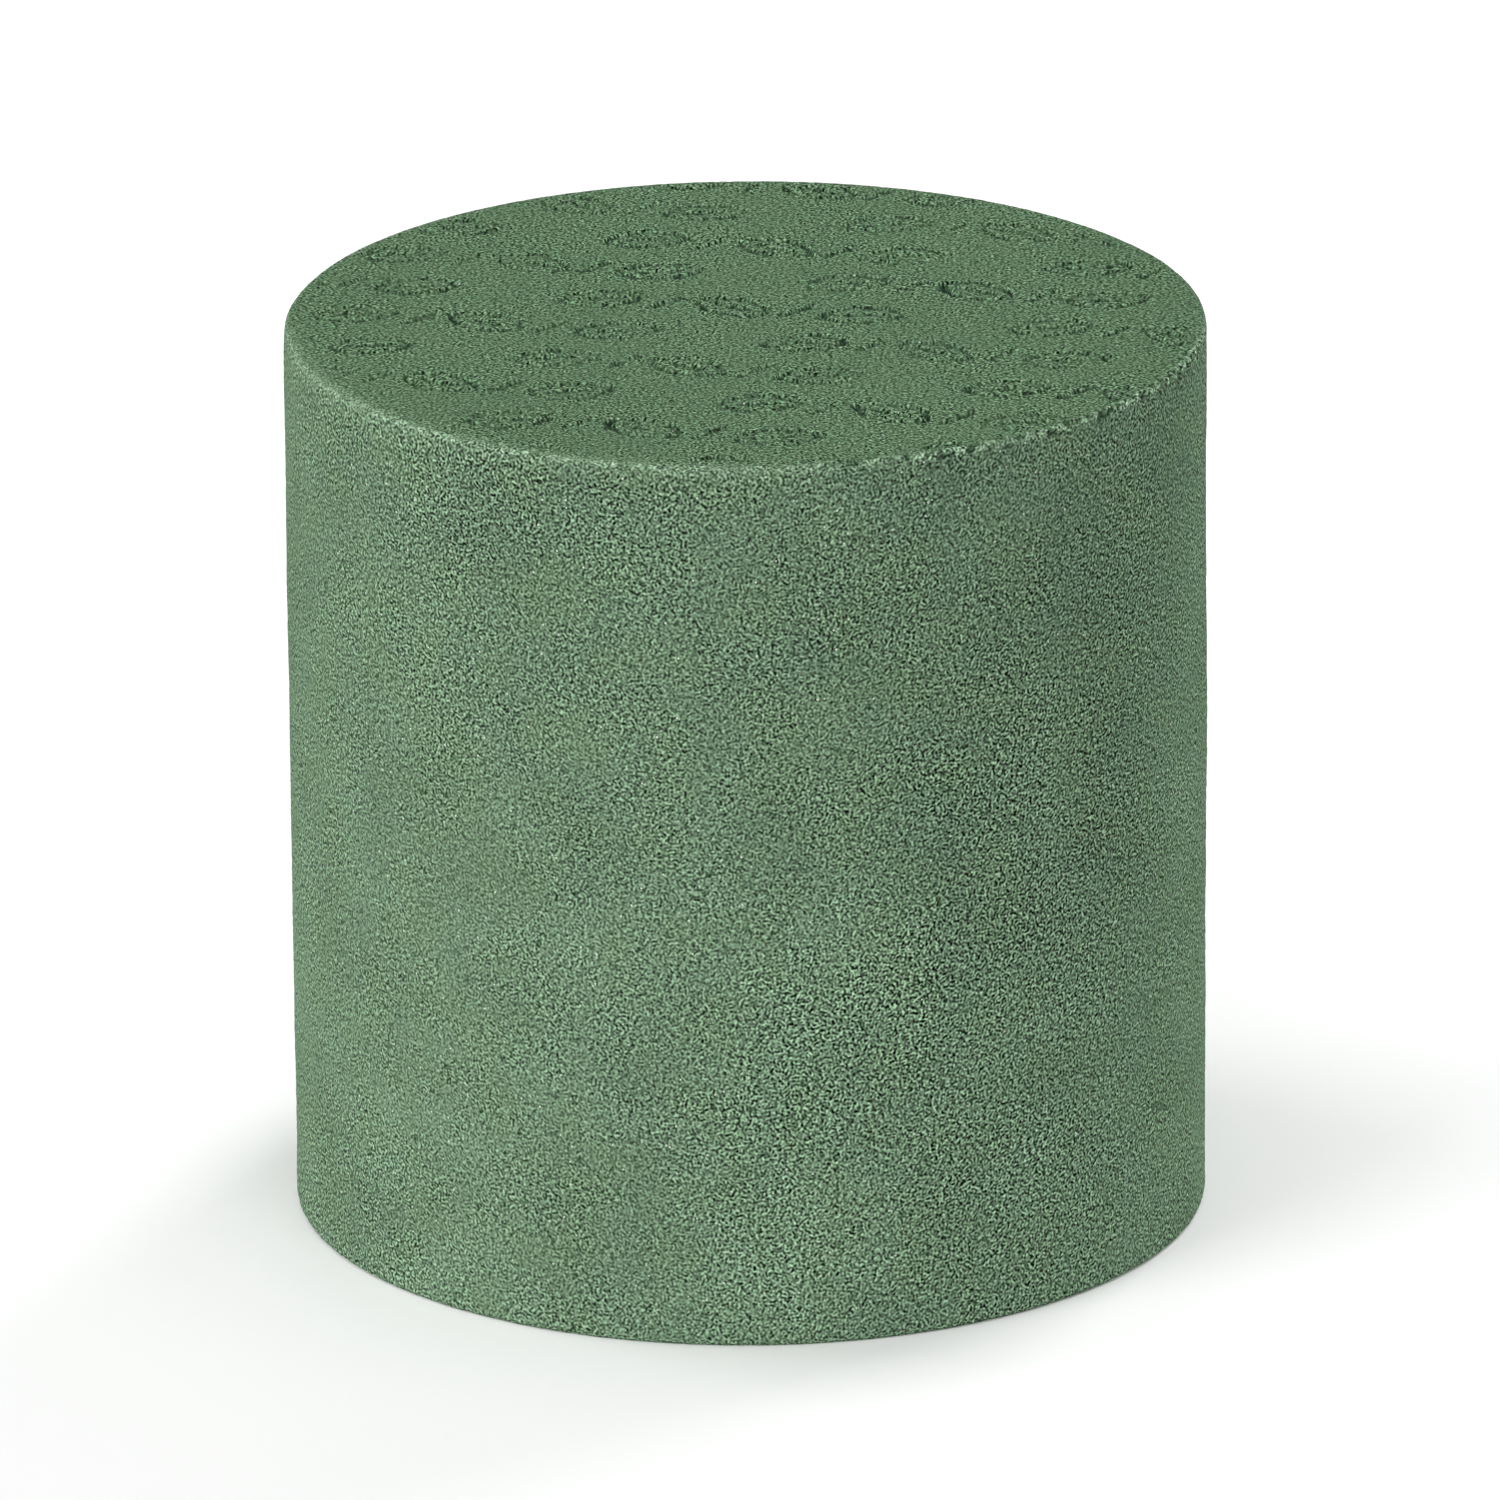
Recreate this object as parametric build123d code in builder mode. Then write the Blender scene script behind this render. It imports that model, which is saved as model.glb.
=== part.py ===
from build123d import *
import os
from math import ceil, cos, radians, sin

# Round block of green floral foam, standing on its base, millimetres and degrees.
# The block is cut from one bun of phenolic foam, so it is one solid: a plain cylinder with
# slightly worn rims. A leaf pattern is pressed into the top in staggered rows, which run off
# the block at its rim.
# Origin: centre of the base. +Z is the block's own axis.

# The block
block_diameter = 80.0
block_height = 80.0
top_rim_radius = 0.8
base_rim_radius = 0.5

# One leaf: a pointed outline with a short midrib, drawn in a line of even width
leaf_length = 8.0
leaf_width = 4.6
midrib_length = 4.0
line_width = 0.6
leaf_tilt = 20.0

# One group: three leaves in a line, tilted in turn, with a slanting dash in each gap
leaves_in_group = 3
leaf_gap = 3.6
dash_length = 4.2
dash_slant = 60.0

# The pattern: rows of groups, every other row moved along by half a pitch
group_gap = 8.6
row_gap = 3.9
row_direction = -13.0
shift_along_rows = -1.9
shift_across_rows = 3.2
pattern_border = 0.4
press_depth = 0.6

# What follows from those sizes
leaf_pitch = leaf_length + leaf_gap
group_pitch = leaves_in_group * leaf_pitch - leaf_gap + group_gap
row_spacing = leaf_width + row_gap
block_radius = block_diameter / 2
pattern_radius = block_radius - top_rim_radius - pattern_border
columns = 2 * ceil((block_radius + abs(shift_along_rows)) / group_pitch) + 1
row_pairs = 2 * ceil((block_radius + abs(shift_across_rows)) / (2 * row_spacing)) + 1
row_axis = (cos(radians(row_direction)), sin(radians(row_direction)), 0)
top_plane = Plane(origin=(0, 0, block_height), x_dir=row_axis, z_dir=(0, 0, 1))


# A leaf's outline is two arcs from tip to tip.
with BuildSketch() as leaf:
    with BuildLine():
        ThreePointArc((-leaf_length / 2, 0), (0, leaf_width / 2), (leaf_length / 2, 0))
        ThreePointArc((leaf_length / 2, 0), (0, -leaf_width / 2), (-leaf_length / 2, 0))
    make_face()
    offset(amount=-line_width, mode=Mode.SUBTRACT)
    SlotOverall(midrib_length, line_width)


with BuildSketch() as group:
    first_leaf = -leaf_pitch * (leaves_in_group - 1) / 2
    for number in range(leaves_in_group):
        tilt = leaf_tilt if number % 2 == 0 else -leaf_tilt
        with Locations((first_leaf + number * leaf_pitch, 0)):
            add(leaf.sketch, rotation=tilt)
    with GridLocations(leaf_pitch, 0, leaves_in_group - 1, 1):
        SlotOverall(dash_length, line_width, rotation=dash_slant)


with BuildPart() as foam_cylinder:
    Cylinder(block_radius, block_height, align=(Align.CENTER, Align.CENTER, Align.MIN))
    fillet(foam_cylinder.edges().sort_by(Axis.Z)[-1], radius=top_rim_radius)
    fillet(foam_cylinder.edges().sort_by(Axis.Z)[0], radius=base_rim_radius)
    with BuildSketch(top_plane) as pattern:
        with Locations((shift_along_rows, shift_across_rows)):
            with GridLocations(group_pitch, 2 * row_spacing, columns, row_pairs):
                add(group.sketch)
        with Locations((shift_along_rows + group_pitch / 2, shift_across_rows + row_spacing)):
            with GridLocations(group_pitch, 2 * row_spacing, columns, row_pairs):
                add(group.sketch)
        Circle(pattern_radius, mode=Mode.INTERSECT)
    extrude(amount=-press_depth, mode=Mode.SUBTRACT)
foam_cylinder.part.label = "foam_cylinder"

os.makedirs("parts", exist_ok=True)
export_step(foam_cylinder.part, "parts/foam_cylinder.step")
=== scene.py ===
from math import cos, pi, radians, sin

import bpy
import numpy as np
from mathutils import Matrix, Vector


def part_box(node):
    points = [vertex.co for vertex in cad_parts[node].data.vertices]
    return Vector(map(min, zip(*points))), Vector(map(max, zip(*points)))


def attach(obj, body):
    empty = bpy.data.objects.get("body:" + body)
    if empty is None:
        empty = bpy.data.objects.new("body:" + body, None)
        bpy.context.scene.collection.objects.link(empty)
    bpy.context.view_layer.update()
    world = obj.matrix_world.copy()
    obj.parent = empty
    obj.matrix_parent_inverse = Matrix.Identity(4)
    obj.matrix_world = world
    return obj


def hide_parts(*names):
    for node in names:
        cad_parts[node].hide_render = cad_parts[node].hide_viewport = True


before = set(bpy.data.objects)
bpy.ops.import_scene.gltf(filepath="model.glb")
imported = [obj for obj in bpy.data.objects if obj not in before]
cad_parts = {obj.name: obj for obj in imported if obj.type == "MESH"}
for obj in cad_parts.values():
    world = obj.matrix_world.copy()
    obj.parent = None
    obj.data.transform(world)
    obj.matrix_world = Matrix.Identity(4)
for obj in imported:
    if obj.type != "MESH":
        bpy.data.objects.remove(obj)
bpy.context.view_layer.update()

# A round block of green floral foam. Lengths are in metres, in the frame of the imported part.
MM = 0.001
NODE = "foam_cylinder"
BODY = "root"
SLOT = "green_foam"

# The block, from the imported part
low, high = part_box(NODE)
BLOCK_RADIUS = (high.x - low.x) / 2
BLOCK_HEIGHT = high.z - low.z
TOP_RIM_RADIUS = 0.8 * MM
BASE_RIM_RADIUS = 0.5 * MM

# The surface grid: cells across each round end, and between the rims
CELLS_ACROSS_END = 300
CELLS_UP_SIDE = 360
CELLS_ROUND_BASE_RIM = 4
CELLS_ROUND_TOP_RIM = 6

# One pressed leaf, the dash between two, and the group they make
LEAF_LENGTH = 8.0 * MM
LEAF_WIDTH = 4.6 * MM
LEAF_TILT = radians(20)
MIDRIB_LENGTH = 4.0 * MM
LINE_WIDTH = 0.6 * MM
LEAF_PITCH = LEAF_LENGTH + 3.6 * MM
DASH_LENGTH = 4.2 * MM
DASH_SLANT = radians(60)

# The rows of groups
GROUP_PITCH = 2 * LEAF_PITCH + LEAF_LENGTH + 8.6 * MM
ROW_SPACING = LEAF_WIDTH + 3.9 * MM
ROW_DIRECTION = radians(-13)
SHIFT_ALONG_ROWS = -1.9 * MM
SHIFT_ACROSS_ROWS = 3.2 * MM
PATTERN_RADIUS = BLOCK_RADIUS - TOP_RIM_RADIUS - 0.4 * MM
PRESS_DEPTH = 0.6 * MM
PRESS_EDGE = 0.14 * MM

# Hairline scratches round the side
SCRATCHES = 22
SCRATCH_WIDTH = 0.22 * MM
SCRATCH_DEPTH = 0.12 * MM

# The stretch of the top rim that handling has rubbed round, and the stretch that it has chipped,
# as angles from +X, and how far each end of a stretch fades
RUBBED_MIDDLE, RUBBED_HALF_SPAN = radians(-130), radians(48)
CHIPPED_MIDDLE, CHIPPED_HALF_SPAN = radians(-42), radians(36)
STRETCH_FADE = radians(10)

# What the wear does to the rim: how far in it reaches, and how far the foam moves
WEAR_REACH = 1.2 * MM
EDGE_REACH = 0.5 * MM
CHIP_SIZE = 1.0 * MM
SMALL_CHIP_SIZE = 0.6 * MM
RUBBED_DEPTH = 0.26 * MM
BROKEN_DEPTH = 0.35 * MM
CHIPPED_HEIGHT = 0.12 * MM
STANDING_HEIGHT = 0.06 * MM

# Unevenness of the foam, as pitch and height: left by the cutting wire, and crumbled
WIRE_WAVES = ((34 * MM, 0.22 * MM), (11 * MM, 0.06 * MM), (4 * MM, 0.02 * MM))
CRUMB_WAVES = ((0.9 * MM, 0.035 * MM), (0.55 * MM, 0.02 * MM))
SMALL_PATCH = 2.6 * MM
LARGE_PATCH = 9 * MM
PIT_SPACING = 1.7 * MM
PIT_DEPTH = 0.10 * MM

# How strong the fine grain is: everywhere, more in rough patches, on the side with its slow drift,
# and beside the pressed lines
GRAIN_STRENGTH = 0.56
PATCH_STRENGTH = 0.3
SIDE_STRENGTH = 0.05
DRIFT_STRENGTH = 0.27
DRIFT_PITCH = 45 * MM
ROUGHENED_STRENGTH = 0.22

# How the press leaves its lines
LINE_WARP = 0.12 * MM
LINE_WARP_PITCH = 0.7 * MM
CRUSHED_PIT_SPACING = 1.25 * MM
PRESS_FADE_PITCH = 9 * MM
ROUGHENED_FROM, ROUGHENED_TO = 0.3 * MM, 1.4 * MM


# ---- Noise ----------------------------------------------------------------------------------


def lattice_noise(points, cell, seed):
    """Smooth noise from about -1 to 1. Space is cut into cubes of side cell, each corner has a random
    slope, and the slopes are blended across a cube by 6t^5 - 15t^4 + 10t^3."""
    draw = np.random.default_rng(seed)
    shuffle = draw.permutation(256)
    slopes = draw.normal(size=(256, 3)).astype(np.float32)
    slopes /= np.linalg.norm(slopes, axis=1, keepdims=True)
    scaled = points / cell
    corner = np.floor(scaled).astype(np.int64)
    place = (scaled - corner).astype(np.float32)
    blend = place**3 * (place * (place * 6 - 15) + 10)
    total = np.zeros(len(points), np.float32)
    for step in np.ndindex(2, 2, 2):
        x, y, z = ((corner + step) & 255).T
        pick = shuffle[(shuffle[(shuffle[x] + y) & 255] + z) & 255]
        weight = np.where(step, blend, 1 - blend).prod(1)
        total += weight * ((place - np.array(step, np.float32)) * slopes[pick]).sum(1)
    return total * 1.7


def cell_distance(points, cell, seed):
    """Distance to the nearest of one random point in each cube of side cell, in cells."""
    draw = np.random.default_rng(seed)
    shuffle = draw.permutation(256)
    centres = draw.uniform(0, 1, (256, 3)).astype(np.float32)
    scaled = points / cell
    corner = np.floor(scaled).astype(np.int64)
    place = (scaled - corner).astype(np.float32)
    nearest = np.full(len(points), 9, np.float32)
    for step in np.ndindex(3, 3, 3):
        offset = np.array(step) - 1
        x, y, z = ((corner + offset) & 255).T
        pick = shuffle[(shuffle[(shuffle[x] + y) & 255] + z) & 255]
        gap = ((centres[pick] + offset.astype(np.float32) - place) ** 2).sum(1)
        nearest = np.minimum(nearest, gap)
    return np.sqrt(nearest)


def waves(points, sizes, first_seed):
    """Noises added up, each with its own pitch, height and seed."""
    total = 0
    for seed, (pitch, height) in enumerate(sizes, first_seed):
        total = total + lattice_noise(points, pitch, seed) * height
    return total


def smooth_step(value, start, end):
    """0 before start, 1 after end, and t*t*(3 - 2t) between."""
    t = np.clip((value - start) / (end - start), 0, 1)
    return t * t * (3 - 2 * t)


# ---- The pressed leaves ---------------------------------------------------------------------


def to_line(x, y, length, turn):
    """Distance from a straight line of that length, centred at 0 and turned by that angle."""
    along = x * cos(turn) + y * sin(turn)
    across = -x * sin(turn) + y * cos(turn)
    beyond = np.maximum(np.abs(along) - length / 2, 0)
    return np.hypot(beyond, across)


def to_leaf(x, y, turn):
    """Distance from the drawn line of one leaf: a lens between two equal arcs, with its midrib.
    The lens is where two circles overlap, so the further centre less the radius is the distance."""
    half_length, half_width = LEAF_LENGTH / 2, LEAF_WIDTH / 2
    arc_radius = (half_length**2 + half_width**2) / (2 * half_width)
    centre = arc_radius - half_width
    along = x * cos(turn) + y * sin(turn)
    across = -x * sin(turn) + y * cos(turn)
    inside = np.hypot(along, np.abs(across) + centre) - arc_radius
    outline = np.abs(inside + LINE_WIDTH / 2)
    midrib = to_line(x, y, MIDRIB_LENGTH - LINE_WIDTH, turn)
    return np.minimum(outline, midrib)


def to_group(x, y):
    """Distance from the nearest drawn line of one group: leaf, dash, leaf, dash, leaf."""
    nearest = to_leaf(x, y, -LEAF_TILT)
    for side in (-1, 1):
        nearest = np.minimum(nearest, to_leaf(x - side * LEAF_PITCH, y, LEAF_TILT))
        dash = to_line(x - side * LEAF_PITCH / 2, y, DASH_LENGTH - LINE_WIDTH, DASH_SLANT)
        nearest = np.minimum(nearest, dash)
    return nearest


def to_pattern(x, y):
    """Distance from the nearest drawn line of the whole pattern: the group repeated along each row,
    with every other row moved along by half a pitch."""
    along = x * cos(ROW_DIRECTION) + y * sin(ROW_DIRECTION) - SHIFT_ALONG_ROWS
    across = -x * sin(ROW_DIRECTION) + y * cos(ROW_DIRECTION) - SHIFT_ACROSS_ROWS
    nearest = np.full(x.shape, GROUP_PITCH)
    for half in (0, 1):
        u = (along - half * GROUP_PITCH / 2 + GROUP_PITCH / 2) % GROUP_PITCH - GROUP_PITCH / 2
        v = (across - half * ROW_SPACING + ROW_SPACING) % (2 * ROW_SPACING) - ROW_SPACING
        nearest = np.minimum(nearest, to_group(u, v))
    return nearest


# ---- The foam's surface ---------------------------------------------------------------------


def round_end(cells):
    """A square grid drawn out to a unit disc. A square ring becomes the circle of its half-width, and
    the place along one of its sides becomes the angle. Gives the points, the quads facing +Z, and the
    edge points in order from -45 degrees round."""
    across = np.linspace(-1, 1, cells + 1)
    a, b = np.meshgrid(across, across, indexing="ij")
    wide = np.abs(a) > np.abs(b)
    reach = np.where(wide, a, b)
    share = np.where(wide, b, a) / np.where(reach == 0, 1, reach)
    turn = np.where(wide, pi / 4 * share, pi / 2 - pi / 4 * share)
    points = np.stack([reach * np.cos(turn), reach * np.sin(turn)], -1).reshape(-1, 2)
    index = np.arange((cells + 1) ** 2).reshape(cells + 1, cells + 1)
    quads = np.stack([index[:-1, :-1], index[1:, :-1], index[1:, 1:], index[:-1, 1:]], -1)
    edge = np.concatenate(
        [index[-1, :-1], index[:0:-1, -1], index[0, :0:-1], index[:-1, 0]]
    )
    return points, quads.reshape(-1, 4), edge


def side_outline():
    """The outline from the edge of the base to the edge of the top, as radius, height and the slope of
    its outward normal: a quarter circle, a straight line, a quarter circle."""
    base_turn = np.linspace(-pi / 2, 0, CELLS_ROUND_BASE_RIM + 1)
    top_turn = np.linspace(0, pi / 2, CELLS_ROUND_TOP_RIM + 1)
    heights = np.linspace(BASE_RIM_RADIUS, BLOCK_HEIGHT - TOP_RIM_RADIUS, CELLS_UP_SIDE + 1)
    radius = np.concatenate(
        [
            BLOCK_RADIUS - BASE_RIM_RADIUS * (1 - np.cos(base_turn)),
            np.full(CELLS_UP_SIDE - 1, BLOCK_RADIUS),
            BLOCK_RADIUS - TOP_RIM_RADIUS * (1 - np.cos(top_turn)),
        ]
    )
    height = np.concatenate(
        [
            BASE_RIM_RADIUS * (1 + np.sin(base_turn)),
            heights[1:-1],
            BLOCK_HEIGHT - TOP_RIM_RADIUS * (1 - np.sin(top_turn)),
        ]
    )
    turn = np.concatenate([base_turn, np.zeros(CELLS_UP_SIDE - 1), top_turn])
    return radius, height, turn


def block_grid():
    """The closed grid of the plain block: points, outward normals, quads, each corner's place on the
    flat map in metres, and the map's size. The side is two strips one above the other, and the ends
    lie beside them."""
    disc, disc_quads, edge = round_end(CELLS_ACROSS_END)
    radius, height, turn = side_outline()
    columns = len(edge)
    angle = -pi / 4 + np.arange(columns) * 2 * pi / columns

    top = np.column_stack([disc * radius[-1], np.full(len(disc), BLOCK_HEIGHT)])
    base = np.column_stack([disc * radius[0], np.zeros(len(disc))])
    r, z, t = (row[1:-1, None] for row in (radius, height, turn))
    side = np.stack([r * np.cos(angle), r * np.sin(angle), z + 0 * angle], -1)
    lean = np.stack([np.cos(t) * np.cos(angle), np.cos(t) * np.sin(angle), np.sin(t) + 0 * angle], -1)

    points = np.concatenate([base, side.reshape(-1, 3), top])
    normals = np.concatenate(
        [np.tile([0.0, 0, -1], (len(base), 1)), lean.reshape(-1, 3), np.tile([0.0, 0, 1], (len(top), 1))]
    )
    rings = len(base) + np.arange(side[..., 0].size).reshape(-1, columns)
    top_start = len(base) + side[..., 0].size
    rings = np.concatenate([edge[None], rings, top_start + edge[None]])
    onward = np.roll(rings, -1, axis=1)
    side_quads = np.stack([rings[:-1], onward[:-1], onward[1:], rings[1:]], -1).reshape(-1, 4)
    quads = np.concatenate([disc_quads[:, ::-1], side_quads, top_start + disc_quads])

    lengths = np.hypot(np.diff(radius), np.diff(height))
    up = np.concatenate([[0], np.cumsum(lengths)])
    gap = 1.6 * MM
    half_way = columns // 2
    strip_width = pi * BLOCK_RADIUS
    column = np.arange(columns)
    start = (column % half_way) / half_way * strip_width
    end = start + strip_width / half_way
    lift = (column // half_way) * (up[-1] + gap)
    corners = np.stack(
        [
            np.stack(np.broadcast_arrays(start, lift + up[:-1, None]), -1),
            np.stack(np.broadcast_arrays(end, lift + up[:-1, None]), -1),
            np.stack(np.broadcast_arrays(end, lift + up[1:, None]), -1),
            np.stack(np.broadcast_arrays(start, lift + up[1:, None]), -1),
        ],
        -2,
    ).reshape(-1, 4, 2)
    beside = strip_width + gap + BLOCK_RADIUS
    base_map = disc[disc_quads[:, ::-1]] * (-radius[0], radius[0]) + (beside, BLOCK_RADIUS)
    top_map = disc[disc_quads] * radius[-1] + (beside, 3 * BLOCK_RADIUS + gap)
    flat_map = np.concatenate([base_map, corners, top_map])
    return points, normals, quads, flat_map, (beside + BLOCK_RADIUS, 4 * BLOCK_RADIUS + gap)


def scratches(points):
    """How deep each point lies in a hairline scratch, from 0 to 1. A scratch is a short arc on the
    unrolled side, drawn at random: the distance from it is the distance from its circle, cut off at
    both ends by the angle about the circle's centre."""
    draw = np.random.default_rng(21)
    angle = np.arctan2(points[:, 1], points[:, 0])
    depth = np.zeros(len(points), np.float32)
    for number in range(SCRATCHES):
        middle, height = draw.uniform(-pi, pi), draw.uniform(0.08, 0.92) * BLOCK_HEIGHT
        half_length, bend = draw.uniform(1.2, 4.5) * MM, draw.uniform(3, 14) * MM
        turn = draw.uniform(-pi, pi)
        strength = draw.uniform(0.4, 1)
        across = ((angle - middle + pi) % (2 * pi) - pi) * BLOCK_RADIUS - bend * cos(turn)
        upward = points[:, 2] - height - bend * sin(turn)
        off_end = np.abs((np.arctan2(-upward, -across) - turn + pi) % (2 * pi) - pi) * bend
        away = np.abs(np.hypot(across, upward) - bend)
        line = smooth_step(away, SCRATCH_WIDTH, 0) * smooth_step(off_end, half_length, half_length * 0.5)
        depth = np.maximum(depth, strength * line)
    return depth


def stretch(points, middle, half_span):
    """1 at angles within that stretch of the rim, fading to 0 across each of its ends."""
    turn = np.arctan2(points[:, 1], points[:, 0]) - middle
    turn = np.abs((turn + pi) % (2 * pi) - pi)
    return smooth_step(turn, half_span + STRETCH_FADE, half_span - STRETCH_FADE)


def foam_relief(points, normals):
    """How far each point moves out along its normal, and what the material needs: how much painted
    shade goes down in its pits, chips and scratches, how much pale crumb lies there, partly a painted
    highlight along the rim, how strong its grain is, and how much it belongs to the cut side. Long
    waves are the wander of the cutting wire, short ones the crumb, and round pits the open cells. The
    top rim is rubbed round over one stretch and chipped over another."""
    faces_up = smooth_step(normals[:, 2], 0.5, 0.95)
    faces_down = smooth_step(-normals[:, 2], 0.5, 0.95)
    sideways = 1 - faces_up - faces_down

    wander = waves(points, WIRE_WAVES, first_seed=1)
    uneven = lattice_noise(points, SMALL_PATCH, 4) + lattice_noise(points, LARGE_PATCH, 9)
    patches = smooth_step(uneven, -0.8, 0.8)
    crumb = waves(points, CRUMB_WAVES, first_seed=5)
    pits = smooth_step(cell_distance(points, PIT_SPACING, 7), 0.20, 0.08)
    scratched = scratches(points) * sideways
    grain = (crumb - pits * PIT_DEPTH) * (0.6 + 0.5 * patches)
    move = wander * (sideways + 0.25 * faces_up) + grain * (1 - 0.35 * faces_up)
    move -= scratched * SCRATCH_DEPTH

    to_rim = np.hypot(BLOCK_RADIUS - np.hypot(points[:, 0], points[:, 1]), BLOCK_HEIGHT - points[:, 2])
    near_rim = np.exp(-((to_rim / WEAR_REACH) ** 2))
    edge = np.minimum(1.4 * np.exp(-((to_rim / EDGE_REACH) ** 2)), 1)
    rubbed = stretch(points, RUBBED_MIDDLE, RUBBED_HALF_SPAN) * near_rim
    chipped = stretch(points, CHIPPED_MIDDLE, CHIPPED_HALF_SPAN) * near_rim
    chips = lattice_noise(points, CHIP_SIZE, 8) + 0.5 * lattice_noise(points, SMALL_CHIP_SIZE, 10)
    broken_out = smooth_step(chips, 0.3, 0.55) * chipped
    standing = smooth_step(-chips, -0.3, 0.1) * (0.7 * rubbed + chipped) * edge
    move += CHIPPED_HEIGHT * chipped * edge + STANDING_HEIGHT * standing
    move -= RUBBED_DEPTH * rubbed + BROKEN_DEPTH * broken_out

    # Painted shade for the material: dark down in the pits, chips and scratches
    hollow = np.clip(pits * 0.8 + broken_out + scratched * 0.8, 0, 1)
    # Pale crumbs on the rim and the rubbed stretch, partly a painted highlight along the rim's edge
    crumbled = np.clip(standing + 0.2 * rubbed, 0, 1)
    strength = (GRAIN_STRENGTH + PATCH_STRENGTH * patches) * (1 - 0.3 * rubbed)
    drift = lattice_noise(points, DRIFT_PITCH, 272)
    strength += (SIDE_STRENGTH + DRIFT_STRENGTH * drift) * sideways
    return move, hollow, crumbled, strength, sideways


def press(points, normals):
    """Depth of the pressed leaves at each point of the top, from 0 to 1, and how far the foam beside
    them is roughened. The press crushes whole cells, so each line is a row of pits, and it fades
    where the block stood a little clear of the press."""
    faces_up = smooth_step(normals[:, 2], 0.6, 0.98)
    inside = smooth_step(np.hypot(points[:, 0], points[:, 1]), PATTERN_RADIUS, PATTERN_RADIUS - 0.5 * MM)
    away = to_pattern(points[:, 0], points[:, 1])
    away += lattice_noise(points, LINE_WARP_PITCH, 11) * LINE_WARP
    crushed = smooth_step(cell_distance(points, CRUSHED_PIT_SPACING, 12), 0.55, 0.30)
    half_width = LINE_WIDTH * (0.35 + 0.35 * crushed)
    line = smooth_step(away, half_width + PRESS_EDGE, half_width - PRESS_EDGE)
    faded = 0.6 + 0.4 * smooth_step(lattice_noise(points, PRESS_FADE_PITCH, 13), -0.4, 0.4)
    reached = faces_up * inside * faded
    roughened = smooth_step(away, ROUGHENED_TO, ROUGHENED_FROM) * reached
    return line * reached * (0.5 + 0.5 * crushed), roughened


def make_foam_block():
    """The block as one closed mesh, with its relief in the mesh, and what the material needs to know
    of each place kept as attributes."""
    points, normals, quads, flat_map, map_size = block_grid()
    move, hollow, crumbled, strength, cut = foam_relief(points, normals)
    pressed, roughened = press(points, normals)
    strength += ROUGHENED_STRENGTH * roughened
    points = points + normals * (move - pressed * PRESS_DEPTH)[:, None]
    points[:, 2] = np.maximum(points[:, 2], 0)

    mesh = bpy.data.meshes.new("foam_block")
    mesh.vertices.add(len(points))
    mesh.vertices.foreach_set("co", points.astype(np.float32).ravel())
    mesh.loops.add(quads.size)
    mesh.loops.foreach_set("vertex_index", quads.astype(np.int32).ravel())
    mesh.polygons.add(len(quads))
    mesh.polygons.foreach_set("loop_start", np.arange(0, quads.size, 4, dtype=np.int32))
    mesh.polygons.foreach_set("use_smooth", np.ones(len(quads), bool))
    shares = {
        "hollow": hollow,
        "pressed": pressed,
        "crumbled": crumbled,
        "strength": strength,
        "cut": cut,
    }
    for name, values in shares.items():
        mesh.attributes.new(name, "FLOAT", "POINT").data.foreach_set("value", values.astype(np.float32))
    for name, size in (("OFBake", map_size), ("skin", (1, 1))):
        corners = (flat_map / size).astype(np.float32)
        mesh.uv_layers.new(name=name).uv.foreach_set("vector", corners.ravel())
    mesh.update(calc_edges=True)
    mesh.validate()
    block = bpy.data.objects.new("foam_block", mesh)
    bpy.context.scene.collection.objects.link(block)
    return block


# ---- Materials ------------------------------------------------------------------------------

# Colours of the foam, and of the painted shade and rim highlight on it. A face drifts between its two.
CUT_FACE = (0.086, 0.134, 0.087, 1), (0.093, 0.145, 0.094, 1)
PRESSED_FACE = (0.081, 0.138, 0.080, 1), (0.087, 0.148, 0.086, 1)
WARM_PATCH = (0.095, 0.145, 0.079, 1)
# Pale crumbs, partly a painted highlight along the rim
PALE_CRUMB_AND_RIM_HIGHLIGHT = (0.185, 0.275, 0.182, 1)
# Painted shade down in the cells, chips and scratches
PAINTED_CELL_SHADE = (0.016, 0.034, 0.018, 1)
# Painted shade in the pressed grooves
PAINTED_GROOVE_SHADE = (0.021, 0.044, 0.025, 1)
SPECK = (0.42, 0.48, 0.40, 1)

# The fine grain, and the sizes of what drifts
FINE_GRAIN_PITCH = 0.41 * MM
COARSE_GRAIN_PITCH = 0.85 * MM
GRAIN_HEIGHT = 0.06 * MM
# How hard the grain's colour swings: painted shade in its pits, painted light on its ridges
GRAIN_DARKENING = 1.9
BLOTCH_SIZE = 24 * MM
STAIN_SIZE = 11 * MM
WARM_PATCH_SIZE = 5 * MM
SPECK_SPACING = 1.3 * MM


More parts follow.
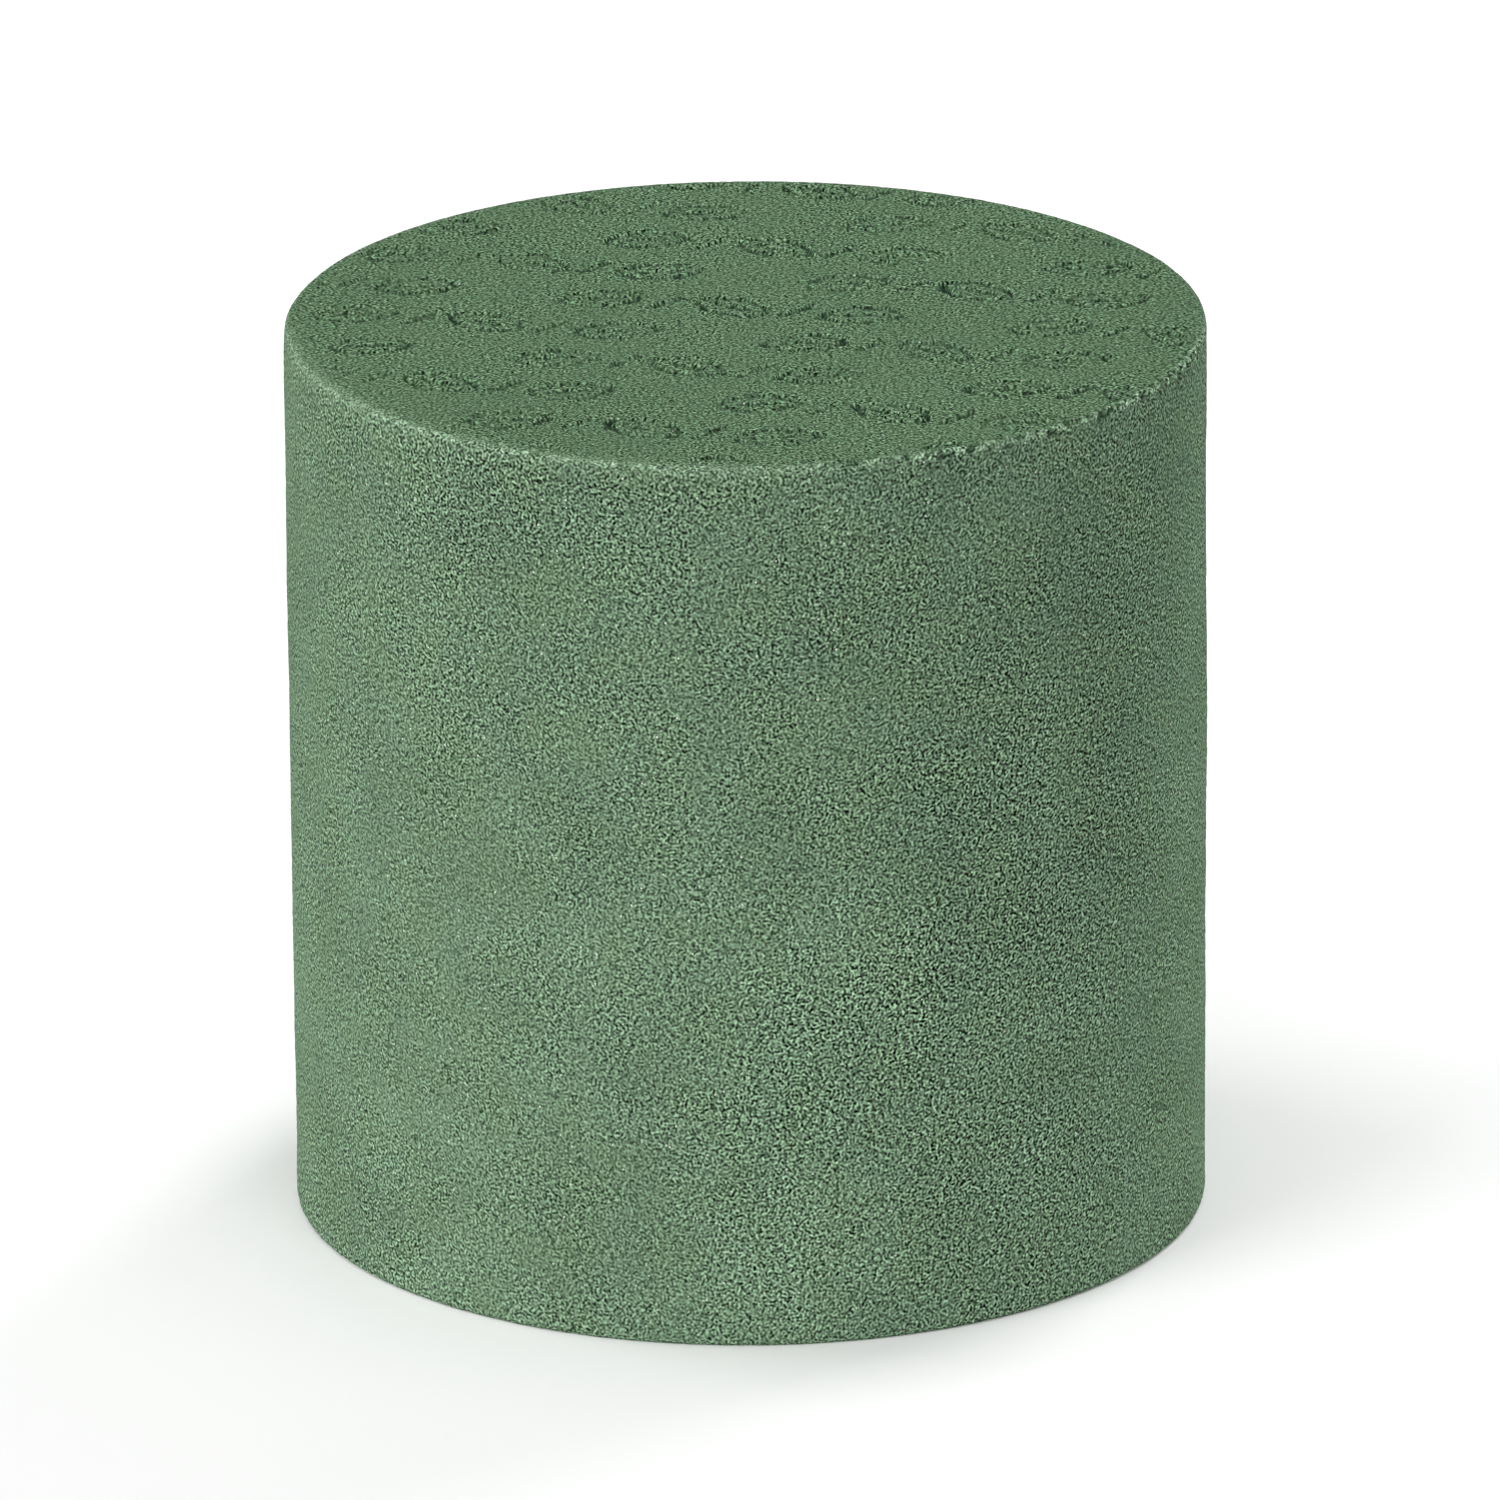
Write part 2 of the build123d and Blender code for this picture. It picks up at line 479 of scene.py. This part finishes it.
class Nodes:
    """A material's node tree, with a short call for each kind of node that the foam uses."""

    def __init__(self, name):
        self.material = bpy.data.materials.new(name)
        self.material.use_nodes = True
        self.tree = self.material.node_tree
        self.tree.nodes.clear()
        self.output = self.tree.nodes.new("ShaderNodeOutputMaterial")

    def add(self, kind, inputs=(), **settings):
        """A node of that kind. An input is a value, or the output that feeds it."""
        node = self.tree.nodes.new(kind)
        for name, value in settings.items():
            setattr(node, name, value)
        for socket, value in dict(inputs).items():
            if isinstance(value, bpy.types.NodeSocket):
                self.tree.links.new(value, node.inputs[socket])
            else:
                node.inputs[socket].default_value = value
        return node

    def place(self):
        """The point in the block's own frame, in metres."""
        return self.add("ShaderNodeTexCoord").outputs["Object"]

    def skin(self):
        """The surface laid flat, in metres."""
        return self.add("ShaderNodeUVMap", uv_map="skin").outputs["UV"]

    def worms(self, place, size, narrow):
        """Wavy ridges and furrows from 0 to 1, that distance apart. The higher narrow is, the more even
        their width."""
        inputs = {"Vector": place, "Scale": 1 / (size * narrow), "Frequency": narrow, "Anisotropy": 0.0}
        return self.add("ShaderNodeTexGabor", inputs, gabor_type="2D").outputs["Value"]

    def noise(self, place, size, detail=2.0, roughness=0.5):
        """Noise from 0 to 1 whose features are about that size, in metres."""
        inputs = {"Vector": place, "Scale": 1 / size, "Detail": detail, "Roughness": roughness}
        return self.add("ShaderNodeTexNoise", inputs).outputs["Fac"]

    def cells(self, place, size):
        """Distance to the nearest cell's centre, in cells of that size."""
        inputs = {"Vector": place, "Scale": 1 / size}
        return self.add("ShaderNodeTexVoronoi", inputs).outputs["Distance"]

    def attribute(self, name):
        return self.add("ShaderNodeAttribute", attribute_name=name).outputs["Fac"]

    def span(self, value, start, end, low=0.0, high=1.0):
        """Maps start..end to low..high, and holds it there outside."""
        inputs = {"Value": value, "From Min": start, "From Max": end, "To Min": low, "To Max": high}
        return self.add("ShaderNodeMapRange", inputs).outputs["Result"]

    def grey(self, value):
        return self.add("ShaderNodeCombineColor", {0: value, 1: value, 2: value}).outputs[0]

    def maths(self, operation, a, b):
        return self.add("ShaderNodeMath", {0: a, 1: b}, operation=operation).outputs[0]

    def mix(self, share, a, b, blend="MIX"):
        node = self.add("ShaderNodeMix", data_type="RGBA", blend_type=blend)
        for socket, value in ((node.inputs[0], share), (node.inputs[6], a), (node.inputs[7], b)):
            if isinstance(value, bpy.types.NodeSocket):
                self.tree.links.new(value, socket)
            else:
                socket.default_value = value
        return node.outputs[2]


def foam_material():
    """Open-cell foam: a dull green that drifts from patch to patch, a little paler on the cut side, with
    painted light and shade there that make it paler towards the base and darker towards the top,
    painted shade down in the cells, chips, scratches and pressed lines, and pale crumbs that are partly
    a painted highlight along the rim, over a fine grain too small for the mesh whose colour is painted
    shade in its pits and painted light on its ridges."""
    n = Nodes(SLOT)
    place = n.place()
    skin = n.skin()
    fine = n.span(n.worms(skin, FINE_GRAIN_PITCH, 1.1), 0.30, 0.70, -1.0, 1.0)
    coarse = n.span(n.worms(skin, COARSE_GRAIN_PITCH, 1.2), 0.30, 0.70, -0.4, 0.4)
    grain = n.maths("MULTIPLY", n.maths("ADD", fine, coarse), n.attribute("strength"))
    # The grain's colour: painted shade in its pits and painted light on its ridges
    painted_grain_shade = n.maths("POWER", n.span(grain, -1.4, 1.4, 0.03, 1.97), GRAIN_DARKENING)
    blotch = n.span(n.noise(place, BLOTCH_SIZE, 2.0), 0.35, 0.65)
    warmth = n.span(n.noise(place, WARM_PATCH_SIZE, 1.0), 0.4, 0.65, 0.0, 0.3)
    speck = n.span(n.cells(place, SPECK_SPACING), 0.05, 0.09, 1.0, 0.0)
    height = n.add("ShaderNodeSeparateXYZ", {0: place}).outputs["Z"]
    # Painted light and shade on the cut side: paler towards the base, darker towards the top rim
    painted_light_and_shade_by_height = n.span(height, 0.0, BLOCK_HEIGHT, 1.17, 0.89)
    stain = n.span(n.noise(place, STAIN_SIZE, 3.0, 0.7), 0.3, 0.7, 0.89, 1.11)
    # Painted shade down in the pits, chips and scratches
    hollow = n.span(n.attribute("hollow"), 0.0, 1.0, 0.0, 0.8)
    # Painted shade in the pressed grooves, by their depth
    pressed = n.span(n.attribute("pressed"), 0.1, 0.7, 0.0, 0.85)

    cut_face = n.mix(blotch, *CUT_FACE)
    # The cut side takes its stains and the painted light and shade by height
    cut_face = n.mix(1.0, cut_face, n.grey(n.maths("MULTIPLY", painted_light_and_shade_by_height, stain)), "MULTIPLY")
    green = n.mix(n.attribute("cut"), n.mix(blotch, *PRESSED_FACE), cut_face)
    green = n.mix(warmth, green, WARM_PATCH)
    # Pale crumbs, partly a painted highlight along the rim
    green = n.mix(n.attribute("crumbled"), green, PALE_CRUMB_AND_RIM_HIGHLIGHT)
    # Painted shade and light of the grain
    green = n.mix(1.0, green, n.grey(painted_grain_shade), "MULTIPLY")
    # Painted shade in the pits, chips and scratches
    green = n.mix(hollow, green, PAINTED_CELL_SHADE)
    # Painted shade in the pressed grooves
    green = n.mix(pressed, green, PAINTED_GROOVE_SHADE)
    green = n.mix(speck, green, SPECK)

    bump = n.add("ShaderNodeBump", {"Strength": 1.0, "Distance": GRAIN_HEIGHT, "Height": grain})
    shader = n.add(
        "ShaderNodeBsdfPrincipled",
        {
            "Base Color": green,
            "Roughness": 0.95,
            "Normal": bump.outputs[0],
            "Specular IOR Level": 0.0,
        },
    )
    n.tree.links.new(shader.outputs[0], n.output.inputs[0])
    return n.material


def plain_material(name, colour, roughness):
    n = Nodes(name)
    shader = n.add("ShaderNodeBsdfPrincipled", {"Base Color": colour, "Roughness": roughness})
    n.tree.links.new(shader.outputs[0], n.output.inputs[0])
    return n.material


# ---- Camera, light and floor ----------------------------------------------------------------

VIEW_ELEVATION = radians(19.42)
VIEW_ROLL = radians(-0.35)
VIEW_DISTANCE = 42.2 * BLOCK_RADIUS
LENS = 463.7
LENS_SHIFT_X = 0.0014
LENS_SHIFT_Y = 0.0029

LAMP_DISTANCE = 0.9
LAMP_SIZE = 0.5
FLOOR_HALF_SIZE = 0.7

# Where the pale surround starts to fade and where it has gone, as the sine of the angle up
SURROUND_FADES_FROM = 0.25
SURROUND_FADES_TO = 0.6


def make_camera():
    """A long lens far off, a little above the block and turned slightly, that looks at its middle."""
    data = bpy.data.cameras.new("camera")
    data.lens = LENS
    data.sensor_width = 36
    data.shift_x = LENS_SHIFT_X
    data.shift_y = LENS_SHIFT_Y
    data.clip_start, data.clip_end = 0.1, 20
    camera = bpy.data.objects.new("camera", data)
    bpy.context.scene.collection.objects.link(camera)
    centre = Vector((0, 0, BLOCK_HEIGHT / 2))
    back = Vector((0, -cos(VIEW_ELEVATION), sin(VIEW_ELEVATION)))
    turn = (-back).to_track_quat("-Z", "Y").to_matrix().to_4x4() @ Matrix.Rotation(VIEW_ROLL, 4, "Z")
    camera.matrix_world = Matrix.Translation(centre + back * VIEW_DISTANCE) @ turn
    bpy.context.scene.camera = camera


def make_soft_light(name, azimuth, elevation, watts):
    """A square lamp that faces the block from that azimuth, where 0 is the viewer's side and 90 the
    right."""
    data = bpy.data.lights.new(name, "AREA")
    data.shape = "SQUARE"
    data.size = LAMP_SIZE
    data.energy = watts
    lamp = bpy.data.objects.new(name, data)
    bpy.context.scene.collection.objects.link(lamp)
    a, e = radians(azimuth), radians(elevation)
    back = Vector((sin(a) * cos(e), -cos(a) * cos(e), sin(e)))
    turn = (-back).to_track_quat("-Z", "Y").to_matrix().to_4x4()
    centre = Vector((0, 0, BLOCK_HEIGHT / 2))
    lamp.matrix_world = Matrix.Translation(centre + back * LAMP_DISTANCE) @ turn


def make_world(strength):
    """A pale surround that fades out overhead, from 14 to 37 degrees up."""
    world = bpy.data.worlds.new("studio")
    bpy.context.scene.world = world
    world.use_nodes = True
    tree = world.node_tree
    direction = tree.nodes.new("ShaderNodeTexCoord")
    split = tree.nodes.new("ShaderNodeSeparateXYZ")
    fade = tree.nodes.new("ShaderNodeMapRange")
    fade.inputs["From Min"].default_value = SURROUND_FADES_FROM
    fade.inputs["From Max"].default_value = SURROUND_FADES_TO
    fade.inputs["To Min"].default_value = strength
    fade.inputs["To Max"].default_value = 0.0
    tree.links.new(direction.outputs["Generated"], split.inputs[0])
    tree.links.new(split.outputs["Z"], fade.inputs["Value"])
    tree.links.new(fade.outputs["Result"], tree.nodes["Background"].inputs["Strength"])
    tree.nodes["Background"].inputs["Color"].default_value = (1, 1, 1, 1)


def make_floor():
    """A pale square that the block stands on."""
    size = FLOOR_HALF_SIZE
    mesh = bpy.data.meshes.new("floor")
    corners = [(-size, -size, 0), (size, -size, 0), (size, size, 0), (-size, size, 0)]
    mesh.from_pydata(corners, [], [(0, 1, 2, 3)])
    mesh.materials.append(plain_material("pale_floor", (0.86, 0.86, 0.86, 1), 0.6))
    floor = bpy.data.objects.new("floor", mesh)
    bpy.context.scene.collection.objects.link(floor)


make_camera()
make_world(1.0)
make_soft_light("side_lamp", azimuth=-110, elevation=20, watts=4.1)
make_soft_light("key_lamp", azimuth=-50, elevation=20, watts=6.1)
make_soft_light("front_lamp", azimuth=20, elevation=20, watts=3.0)
make_soft_light("back_lamp", azimuth=140, elevation=20, watts=8.1)
make_soft_light("top_lamp", azimuth=0, elevation=85, watts=3.2)
make_floor()
bpy.context.scene.view_settings.view_transform = "Standard"

foam = make_foam_block()
foam.data.materials.append(foam_material())
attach(foam, BODY)
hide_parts(NODE)
